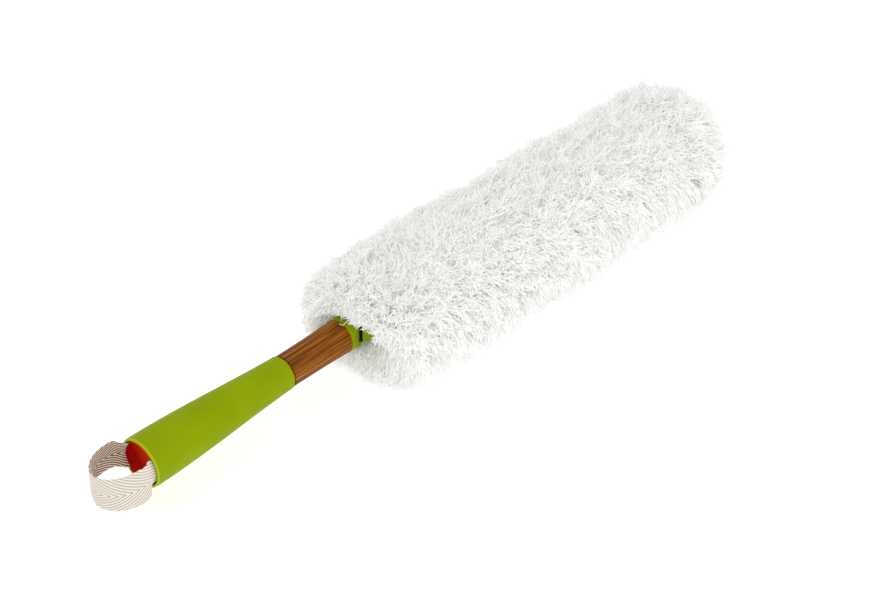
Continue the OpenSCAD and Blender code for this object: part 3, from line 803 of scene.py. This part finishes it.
def rear_tufts():
    """The fringe at the mouth: long on the far side, shorter below and above the collar's near side."""
    w, h, yc, zc = section(MOUTH_X)
    phi, theta = dome_angles(11, 52, 0.45, 0.02, 0.48 * math.pi)
    rad = radial(theta, w, h)
    near = (theta - math.radians(190) + math.pi) % (2 * math.pi) - math.pi
    below = (theta - math.radians(265) + math.pi) % (2 * math.pi) - math.pi
    back = 33.0 - 22.0 * np.exp(-(near / 0.75) ** 2) - 10.0 * np.exp(-(below / 0.9) ** 2)
    ring, depth = np.cos(phi) ** 0.75, np.sin(phi)
    inner = np.exp(-((near + 0.25) / 0.85) ** 2)
    radius = rad * (0.28 + 0.72 * ring + 0.34 * inner * (1 - ring))
    base = np.stack([MOUTH_X + 6 - 2 * depth, yc + 0.5 * w * np.cos(theta),
                     zc * 0.6 + 0.36 * h * np.sin(theta)], -1)
    tip = np.stack([MOUTH_X + 5 - back * depth, yc + radius * np.cos(theta),
                    zc + radius * np.sin(theta)], -1)
    tip += rng.normal(0, 2.0, tip.shape)
    return {"base": base, "tip": tip, "out": unit(tip - base), "droop": 0.12 * np.abs(np.cos(theta)),
            "lock": hanging(theta)}


def mouth_tufts():
    """Short yarn round the paddle's root: over the collar's top, down the near side, below and beside."""
    # Over the top, from the far side to the near side
    y = np.repeat(np.linspace(17, -12, 15), 2)
    row = np.tile([0.0, 1.0], 15)
    top_base = np.stack([18.5 - 3 * row, 1.15 * y, 16.5 + 3 * row], -1)
    top_tip = np.stack([-4.5 - 0.33 * y + 4 * row, y, 16.0 + 3 * row], -1)
    # Down the near side, lower towards the paddle
    x = np.tile(np.linspace(4, 19, 11), 2)
    out = np.repeat([0.0, 1.0], 11)
    near_base = np.stack([0.3 * x + 14.5, -20 - 5 * out, 15.5 + 0 * x], -1)
    near_tip = np.stack([x, -13.2 - 0.19 * x - 4 * out, 9.5 - 1.25 * (x - 4) - 2 * out], -1)
    # Below, close under the root
    y = np.tile(np.linspace(-25, 17, 14), 3)
    low = np.repeat([0.0, 1.0, 2.0], 14)
    under_base = np.stack([19 - 1.5 * low, 1.1 * y, -14.5 - 2.5 * low], -1)
    under_tip = np.stack([7 - 3.5 * low, y, -14.5 - 5.5 * low], -1)
    # Beside it on the far side
    th = np.repeat(np.linspace(-0.9, 1.15, 13), 3)
    row = np.tile([0.0, 1.0, 2.0], 13)
    far_base = np.stack([16 - row, (25 + 3 * row) * np.cos(th), (19 + 3 * row) * np.sin(th)], -1)
    far_tip = np.stack([-9 - 3.5 * row, (22.5 + 5 * row) * np.cos(th), (18 + 5 * row) * np.sin(th)], -1)
    base = np.concatenate([top_base, near_base, under_base, far_base])
    tip = np.concatenate([top_tip, near_tip, under_tip, far_tip])
    tip += rng.normal(0, 1.1, tip.shape)
    still = np.zeros(len(base))
    return {"base": base, "tip": tip, "out": unit(tip - base), "droop": 0.04 + still, "lock": 0.6 + still}


def make_pile():
    groups = (
        # tufts, strands in each, spread, bend, crimp
        (barrel_tufts(), 16, 3.3, 7.0, 0.8),
        (front_tufts(), 16, 3.2, 6.0, 0.8),
        (rear_tufts(), 15, 2.6, 6.5, 1.5),
        (mouth_tufts(), 9, 1.5, 3.0, 0.7),
    )
    lines, tones = [], []
    for tufts, count, spread, bend, crimp in groups:
        line, which = yarn(tufts, count, spread, bend, crimp)
        tuft_tone = rng.uniform(0.35, 0.95, len(tufts["base"]))
        lines.append(line)
        tones.append(np.clip(tuft_tone[which] + rng.normal(0, 0.22, len(which)), 0, 1))
    line, tone = np.concatenate(lines), np.concatenate(tones)
    line = clear_of_handle(rest_on_floor(within_reach(line)))
    kept = trim_round_collar(line)
    line, tone = line[kept], tone[kept]
    n = len(line)
    taper = 1 - 0.35 * np.clip((STRAND_T - 0.85) / 0.15, 0, 1)
    radius = STRAND_RADIUS * rng.uniform(0.85, 1.16, (n, 1)) * taper[None, :]
    depth = np.ones((n, 1)) * STRAND_T[None, :]
    end = line[:, -1]
    # Painted shade: the locks that hang low are painted a little greyer, and not all alike
    low = np.clip((-end[:, 2] - 2) / 26, 0, 1)
    patchy = field(end[:, 0], end[:, 2] * 0.3, seed=71, scale=13)
    tone = np.clip(tone - low * (0.24 + 0.25 * patchy), 0, 1)
    upper = end[:, 2] > 0
    for side, half in (("top", upper), ("bottom", ~upper)):
        # Pieces of equal strand counts, from the mouth to the tip
        order = np.flatnonzero(half)[np.argsort(end[half, 0])]
        pieces = math.ceil(len(order) / STRANDS_PER_PIECE)
        for i, k in enumerate(np.array_split(order, pieces)):
            obj = strands_to_mesh(f"yarn_{side}_{i + 1}", line[k], radius[k], depth[k], tone[k])
            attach(obj, "cover")
            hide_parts(f"pile_{side}")


make_pile()


# ---------------------------------------------------------------- sewn cover under the yarn

SLEEVE_HALF_W = sleeve_hi[1]
SLEEVE_X = box_mm("sleeve_top")[0][0]
SLEEVE_HALF_T = (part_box("seam_binding")[1].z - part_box("seam_binding")[0].z) / MM / 2 + 4.0
BLADE_X = box_mm("seam_binding")[0][0] - 1.0
SLEEVE_ROUND_X = sleeve_hi[0] - SLEEVE_HALF_W
MOUTH_HALF_W, MOUTH_HALF_H = box_mm("mouth_elastic")[1][1:]


def yarn_bed():
    """The dense roots of the yarn: a closed shell between the sewn sleeve and the strands."""
    outer_x = np.concatenate([[MOUTH_X + 6.4, MOUTH_X + 7.5, MOUTH_X + 10], np.arange(32, ROUND_X + 3, 6.0)])
    dome = np.linspace(0.12, 0.5 * math.pi - 0.02, 12)
    around = 96
    th = np.arange(around) * 2 * math.pi / around
    w, h, yc, zc = section(outer_x)
    grow = np.interp(outer_x, [MOUTH_X + 6, MOUTH_X + 10, 34], [0.52, 0.58, 0.69])
    rad = radial(th[None, :], w[:, None], h[:, None]) * grow[:, None]
    rings = [np.stack([x + 0 * th, y + r * np.cos(th), 0.6 * z + r * np.sin(th)], -1)
             for x, y, z, r in zip(outer_x, yc, zc, rad)]
    for a in dome:
        side = math.cos(a)
        ahead = 36.0 * math.sin(a)
        rings.append(np.stack([outer_x[-1] + ahead + 0 * th, yc[-1] + rad[-1] * side * np.cos(th),
                               0.6 * zc[-1] + rad[-1] * side * np.sin(th)], -1))
    outer = np.stack(rings)
    rough = 0.9 * field(outer[..., 0], 40 * np.broadcast_to(th, outer.shape[:2]), 5, 11)
    outer[2:-1, :, 1] += (rough * np.cos(th))[2:-1]
    outer[2:-1, :, 2] += (rough * np.sin(th))[2:-1]
    # Inside, the shell follows the sleeve
    inner_x = np.concatenate([np.linspace(sleeve_hi[0] + 2.0, SLEEVE_ROUND_X, 10), [BLADE_X, SLEEVE_X + 0.5]])
    inner = []
    for x in inner_x:
        reach = np.clip((x - SLEEVE_ROUND_X) / (SLEEVE_HALF_W + 2.2), 0, 0.995)
        half_w = (SLEEVE_HALF_W + 2.0) * math.sqrt(1 - reach * reach)
        half_h = np.interp(x, [SLEEVE_X, BLADE_X, sleeve_hi[0]],
                           [MOUTH_HALF_H + 0.6, SLEEVE_HALF_T + 0.6, 4.0])
        c, s = np.cos(th), np.sin(th)
        inner.append(np.stack([x + 0 * th, half_w * np.sign(c) * np.abs(c) ** 0.5,
                               half_h * np.sign(s) * np.abs(s) ** 0.5], -1))
    points = np.concatenate([outer, np.stack(inner)])
    rows = len(points)
    quads, uv = grid_faces(rows, around, wrap_rows=True, wrap_cols=True)
    # Painted light: the bed's low depth gives it the yarn's lighter painted colour
    bed = build_mesh("yarn_bed", points, quads, uv=uv, attributes={
        "depth": np.full(rows * around, 0.15), "tone": np.full(rows * around, 0.6)})
    paint(bed, YARN)
    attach(bed, "cover")
    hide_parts("pile_top", "pile_bottom")


def sleeve_panel(name, side):
    """One layer of the sewn sleeve: a crowned panel with soft wrinkles and a turned hem at the mouth."""
    rows, cols = 190, 72
    f = np.linspace(0, 1, rows)
    # Rows crowd towards the round end, where the panel narrows
    x = SLEEVE_X + (sleeve_hi[0] - 0.4 - SLEEVE_X) * np.sin(f * math.pi / 2) ** 1.1
    reach = np.clip((x - SLEEVE_ROUND_X) / SLEEVE_HALF_W, 0, 1)
    half_w = np.interp(x, [SLEEVE_X, BLADE_X], [MOUTH_HALF_W - 0.4, SLEEVE_HALF_W]) * np.sqrt(1 - reach ** 2)
    v = np.linspace(-1, 1, cols)[None, :]
    y = half_w[:, None] * v
    height = np.interp(x, [SLEEVE_X, BLADE_X, SLEEVE_ROUND_X, sleeve_hi[0]],
                       [MOUTH_HALF_H - 0.3, SLEEVE_HALF_T - 0.4, SLEEVE_HALF_T - 0.6, 3.2])[:, None]
    crown = 0.5 + (height - 0.5) * (1 - np.abs(v) ** 5)
    xx = x[:, None] + 0 * y
    wrinkle = 0.35 * field(xx, y * 1.4, 61, 17) * (1 - np.abs(v) ** 4)
    pucker = 0.22 * np.sin(xx * 2 * math.pi / 5.0) * np.clip((np.abs(v) - 0.86) / 0.14, 0, 1)
    hem = 0.35 * np.exp(-((xx - SLEEVE_X - 3.0) / 2.2) ** 2)
    outside = crown + wrinkle + pucker + hem
    pocket = np.interp(x, [SLEEVE_X, BLADE_X, SLEEVE_ROUND_X, sleeve_hi[0]],
                       [MOUTH_HALF_H - 2.6, SLEEVE_HALF_T - 2.7, SLEEVE_HALF_T - 2.9, 2.0])[:, None]
    inside = 0.15 + (pocket - 0.15) * (1 - np.abs(v) ** 9) + 0.12 * wrinkle
    inside = np.minimum(inside, outside - 0.3)
    if side > 0:
        front, back = np.stack([xx, y, outside], -1), np.stack([xx, y, inside], -1)
    else:
        front, back = np.stack([xx, y, -inside], -1), np.stack([xx, y, -outside], -1)
    panel = closed_sheet(f"sleeve_panel_{'top' if side > 0 else 'bottom'}", front, back)
    paint(panel, WOVEN)
    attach(panel, "cover")
    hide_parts(name)


def stitched_binding():
    """A tape folded over the sleeve's edge, pulled in at each stitch."""
    straight = np.linspace(BLADE_X + 1.2, SLEEVE_ROUND_X, 500)
    turn = np.linspace(-math.pi / 2, math.pi / 2, 160)[1:-1]
    px = np.concatenate([straight, SLEEVE_ROUND_X + SLEEVE_HALF_W * np.cos(turn), straight[::-1]])
    side = np.full(len(straight), SLEEVE_HALF_W)
    py = np.concatenate([-side, SLEEVE_HALF_W * np.sin(turn), side])
    run = np.concatenate([[0], np.cumsum(np.hypot(np.diff(px), np.diff(py)))])
    nx, ny = np.gradient(py), -np.gradient(px)
    size = np.hypot(nx, ny)
    nx, ny = nx / size, ny / size
    v = np.linspace(-1, 1, 13)[None, :]
    stitch = 0.5 + 0.5 * np.cos(2 * math.pi * run / 2.6)
    dent = 0.30 * stitch[:, None] * np.exp(-((np.abs(v) - 0.55) / 0.16) ** 2)
    out = 0.25 + 1.05 * (1 - np.abs(v) ** 4) - dent
    low = 0.12 + 0.0 * out

    def layer(offset):
        return np.stack([px[:, None] + nx[:, None] * offset, py[:, None] + ny[:, None] * offset,
                         2.9 * v + 0 * offset], -1)

    binding = closed_sheet("stitched_binding", layer(out), layer(low))
    paint(binding, WOVEN)
    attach(binding, "cover")
    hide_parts("seam_binding")


def gathered_mouth():
    """The elastic casing at the mouth: a ring gathered in folds between two rows of stitching."""
    around, cols = 420, 15
    th = np.arange(around) * 2 * math.pi / around
    c, s = np.cos(th), np.sin(th)
    shape_y, shape_z = np.sign(c) * np.abs(c) ** 0.42, np.sign(s) * np.abs(s) ** 0.42
    v = np.linspace(-1, 1, cols)[None, :]
    fold = 0.5 + 0.5 * np.cos(46 * th)[:, None] * (0.8 + 0.2 * np.cos(5 * th)[:, None])
    stitched = np.exp(-((np.abs(v) - 0.62) / 0.13) ** 2)
    shrink_out = 0.15 + 0.55 * fold * (0.4 + 0.6 * np.abs(v)) + 0.35 * stitched
    shrink_in = 2.45 - 0.3 * fold + 0 * v
    length = MOUTH_X + 3.0 + 2.8 * v

    def layer(inset):
        return np.stack([length + 0 * inset, (MOUTH_HALF_W - inset) * shape_y[:, None],
                         (MOUTH_HALF_H - inset) * shape_z[:, None]], -1)

    ring = closed_sheet("gathered_mouth", layer(shrink_out), layer(shrink_in), wrap=True)
    paint(ring, RIBBED)
    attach(ring, "cover")
    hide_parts("mouth_elastic")


yarn_bed()
sleeve_panel("sleeve_top", 1)
sleeve_panel("sleeve_bottom", -1)
stitched_binding()
gathered_mouth()


# ---------------------------------------------------------------- studio

def pale_floor():
    bpy.ops.mesh.primitive_plane_add(size=60, location=(0, 0, -0.0005))
    floor = bpy.context.object
    floor.name = "floor"
    m, _, p = new_material("pale_floor")
    p.inputs["Base Color"].default_value = (0.97, 0.97, 0.97, 1)
    p.inputs["Emission Color"].default_value = (1, 1, 1, 1)
    p.inputs["Emission Strength"].default_value = 0.27
    p.inputs["Roughness"].default_value = 0.9
    p.inputs["Specular IOR Level"].default_value = 0.1
    paint(floor, m)


def soft_box(name, where, size, power):
    """A square area light that points at the middle of the pile."""
    data = bpy.data.lights.new(name, "AREA")
    data.shape = "SQUARE"
    data.size = size
    data.energy = power
    obj = bpy.data.objects.new(name, data)
    bpy.context.scene.collection.objects.link(obj)
    obj.location = where
    aim = Vector((0, 0, 0.03))
    obj.rotation_euler = (aim - Vector(where)).to_track_quat("-Z", "Y").to_euler()


def white_surroundings():
    world = bpy.data.worlds.new("studio")
    world.use_nodes = True
    background = world.node_tree.nodes["Background"]
    background.inputs["Color"].default_value = (1.0, 1.0, 1.0, 1)
    background.inputs["Strength"].default_value = 0.97
    bpy.context.scene.world = world


def camera():
    """A long lens above the butt's near side, so that the duster runs up and to the right."""
    azimuth, elevation = math.radians(-45.05), math.radians(40.0)
    distance = 2.308
    back = Vector((math.sin(azimuth) * math.cos(elevation),
                   -math.cos(azimuth) * math.cos(elevation),
                   math.sin(elevation)))
    right = Vector((math.cos(azimuth), math.sin(azimuth), 0))
    up = back.cross(right)
    aim = Vector(PIVOT) + Vector((77.6 * MM, 0, 0)) + right * 8.7 * MM - up * 13.7 * MM
    cam = bpy.data.objects.new("camera", bpy.data.cameras.new("camera"))
    bpy.context.scene.collection.objects.link(cam)
    cam.location = aim + back * distance
    cam.rotation_euler = Matrix((right, up, back)).transposed().to_euler()
    cam.data.sensor_width = 36.0
    cam.data.lens = 123.8532
    cam.data.clip_start, cam.data.clip_end = 0.05, 100
    bpy.context.scene.camera = cam


def light_paths():
    """White yarn is lit mostly by light that has already bounced among its strands."""
    bounces = 24
    bpy.context.scene.cycles.max_bounces = bounces
    bpy.context.scene.cycles.diffuse_bounces = bounces
    bpy.context.scene.view_settings.view_transform = "Standard"


pale_floor()
white_surroundings()
soft_box("key", (-1.1, -1.7, 1.0), 2.4, 8.0)
soft_box("top", (0.3, -0.2, 2.4), 2.0, 6.0)
camera()
light_paths()
